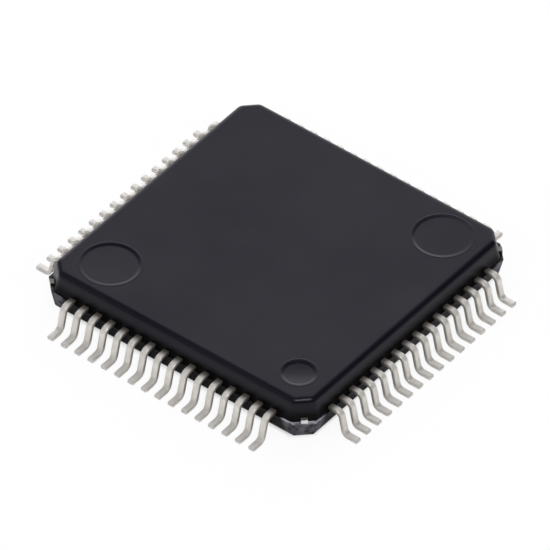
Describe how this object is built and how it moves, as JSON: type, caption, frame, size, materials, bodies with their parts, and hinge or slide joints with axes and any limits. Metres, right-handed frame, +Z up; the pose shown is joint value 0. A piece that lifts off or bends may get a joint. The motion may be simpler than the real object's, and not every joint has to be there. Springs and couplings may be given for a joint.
{
  "type": "quad flat pack chip",
  "caption": "Low-profile quad flat pack: square moulded body with cut corners, gull wing leads on all sides, die on a set-down pad and bond wires inside.",
  "frame": {"origin": "middle of the plane that the feet stand on", "axes": "+Z up out of the board; the pin one mark is in the corner at +X and -Y, and the leads are numbered counter-clockwise from it as seen from above, starting along the +X side"},
  "size_m": [0.012, 0.012, 0.0015],
  "materials": {
    "moulding_compound": "black silica-filled epoxy moulding compound with a satin eroded-mould finish",
    "tin_plated_lead": "copper alloy with matte tin plating",
    "bare_lead_frame": "bare copper alloy strip, tin plated only at the tie bars' cut ends",
    "silver_epoxy": "cured silver-filled epoxy",
    "silicon": "sawn silicon with a polished passivated face",
    "gold_wire": "drawn gold"
  },
  "bodies": {
    "root": {"bond_wires_side_1": "gold_wire", "bond_wires_side_2": "gold_wire", "bond_wires_side_3": "gold_wire", "bond_wires_side_4": "gold_wire", "die": "silicon", "die_attach": "silver_epoxy", "die_pad": "bare_lead_frame", "leads_01_02": "tin_plated_lead", "leads_03_04": "tin_plated_lead", "leads_05_06": "tin_plated_lead", "leads_07_08": "tin_plated_lead", "leads_09_10": "tin_plated_lead", "leads_11_12": "tin_plated_lead", "leads_13_14": "tin_plated_lead", "leads_15_16": "tin_plated_lead", "leads_17_18": "tin_plated_lead", "leads_19_20": "tin_plated_lead", "leads_21_22": "tin_plated_lead", "leads_23_24": "tin_plated_lead", "leads_25_26": "tin_plated_lead", "leads_27_28": "tin_plated_lead", "leads_29_30": "tin_plated_lead", "leads_31_32": "tin_plated_lead", "leads_33_34": "tin_plated_lead", "leads_35_36": "tin_plated_lead", "leads_37_38": "tin_plated_lead", "leads_39_40": "tin_plated_lead", "leads_41_42": "tin_plated_lead", "leads_43_44": "tin_plated_lead", "leads_45_46": "tin_plated_lead", "leads_47_48": "tin_plated_lead", "leads_49_50": "tin_plated_lead", "leads_51_52": "tin_plated_lead", "leads_53_54": "tin_plated_lead", "leads_55_56": "tin_plated_lead", "leads_57_58": "tin_plated_lead", "leads_59_60": "tin_plated_lead", "leads_61_62": "tin_plated_lead", "leads_63_64": "tin_plated_lead", "moulded_body": "moulding_compound"}
  },
  "joints": []
}
